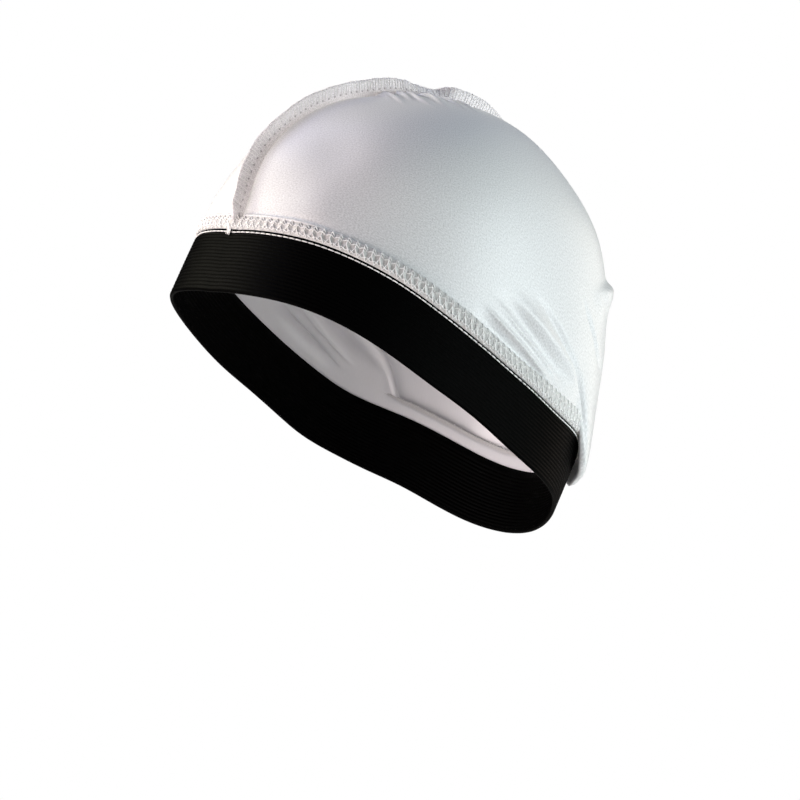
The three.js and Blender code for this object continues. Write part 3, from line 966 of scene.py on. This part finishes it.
floor_mesh = bpy.data.meshes.new("floor")
floor_mesh.from_pydata(
    [(x * FLOOR_REACH, y * FLOOR_REACH, FLOOR_HEIGHT) for x, y in [(-1, -1), (1, -1), (1, 1), (-1, 1)]],
    [],
    [(0, 1, 2, 3)],
)
floor = bpy.data.objects.new("floor", floor_mesh)
bpy.context.scene.collection.objects.link(floor)
pale = bpy.data.materials.new("pale floor")
pale.use_nodes = True
nodes = pale.node_tree.nodes
links = pale.node_tree.links
pale_shader = nodes["Principled BSDF"]
pale_shader.inputs["Base Color"].default_value = (0.8, 0.8, 0.8, 1)
pale_shader.inputs["Roughness"].default_value = 0.9
bright = nodes.new("ShaderNodeEmission")
bright.inputs["Strength"].default_value = 1.0
seen = nodes.new("ShaderNodeLightPath")
choice = nodes.new("ShaderNodeMixShader")
links.new(seen.outputs["Is Camera Ray"], choice.inputs["Fac"])
links.new(pale_shader.outputs["BSDF"], choice.inputs[1])
links.new(bright.outputs["Emission"], choice.inputs[2])
links.new(choice.outputs["Shader"], nodes["Material Output"].inputs["Surface"])
floor_mesh.materials.append(pale)

world = bpy.data.worlds.new("studio")
bpy.context.scene.world = world
world.use_nodes = True
nodes = world.node_tree.nodes
links = world.node_tree.links
dim = nodes["Background"]
dim.inputs["Color"].default_value = (0.94, 0.95, 1.0, 1)
dim.inputs["Strength"].default_value = 0.03
backdrop = nodes.new("ShaderNodeBackground")
backdrop.inputs["Color"].default_value = (1, 1, 1, 1)
backdrop.inputs["Strength"].default_value = 1
seen = nodes.new("ShaderNodeLightPath")
choice = nodes.new("ShaderNodeMixShader")
links.new(seen.outputs["Is Camera Ray"], choice.inputs["Fac"])
links.new(dim.outputs["Background"], choice.inputs[1])
links.new(backdrop.outputs["Background"], choice.inputs[2])
links.new(choice.outputs["Shader"], nodes["World Output"].inputs["Surface"])

CENTRE = Vector((0, 0.018, 0.04))
LIGHT_DISTANCE = 1.6
LIGHT_SIZE = 0.9


def soft_light(name, azimuth, elevation, watts, colour):
    """A square light that faces the cap. Azimuth 0 is in front of it, 90 on the wearer's left."""
    lamp = bpy.data.lights.new(name, "AREA")
    lamp.size = LIGHT_SIZE
    lamp.energy = watts
    lamp.color = colour
    holder = bpy.data.objects.new(name, lamp)
    around = np.radians(azimuth)
    up = np.radians(elevation)
    outward = Vector((np.sin(around) * np.cos(up), -np.cos(around) * np.cos(up), np.sin(up)))
    holder.location = CENTRE + outward * LIGHT_DISTANCE
    holder.rotation_euler = outward.to_track_quat("Z", "Y").to_euler()
    bpy.context.scene.collection.objects.link(holder)


soft_light("front light", -10, 0, 24, (1.0, 0.89, 0.87))
soft_light("left light", -60, 30, 24, (1.0, 0.96, 0.76))
soft_light("high left light", -60, 60, 8.5, (0.58, 0.64, 1.0))
soft_light("right light", 125, 0, 24, (0.91, 1.0, 1.0))
soft_light("back light", 180, 0, 5, (1.0, 0.85, 0.71))

# The camera, in front and to the wearer's left, level with the upper half of the cap and slightly
# tilted. Its distance, and how far it is moved right and up, are in millimetres.
VIEW_AZIMUTH = np.radians(50)
VIEW_ELEVATION = np.radians(3.5)
VIEW_ROLL = np.radians(1.37)
VIEW_DISTANCE = 1492
VIEW_RIGHT = 14.2
VIEW_UP = 5.3

backward = np.array(
    (
        np.sin(VIEW_AZIMUTH) * np.cos(VIEW_ELEVATION),
        -np.cos(VIEW_AZIMUTH) * np.cos(VIEW_ELEVATION),
        np.sin(VIEW_ELEVATION),
    )
)
level_right = np.array((np.cos(VIEW_AZIMUTH), np.sin(VIEW_AZIMUTH), 0))
level_up = np.cross(backward, level_right)
right = level_right * np.cos(VIEW_ROLL) + level_up * np.sin(VIEW_ROLL)
up = level_up * np.cos(VIEW_ROLL) - level_right * np.sin(VIEW_ROLL)
eye = (backward * VIEW_DISTANCE + right * VIEW_RIGHT + up * VIEW_UP) / 1000
lens = bpy.data.cameras.new("camera")
lens.sensor_width = 36
lens.lens = 168.75
camera = bpy.data.objects.new("camera", lens)
bpy.context.scene.collection.objects.link(camera)
pose = Matrix([right, up, backward]).transposed().to_4x4()
pose.translation = Vector(eye)
camera.matrix_world = pose
bpy.context.scene.camera = camera
bpy.context.scene.view_settings.view_transform = "Standard"
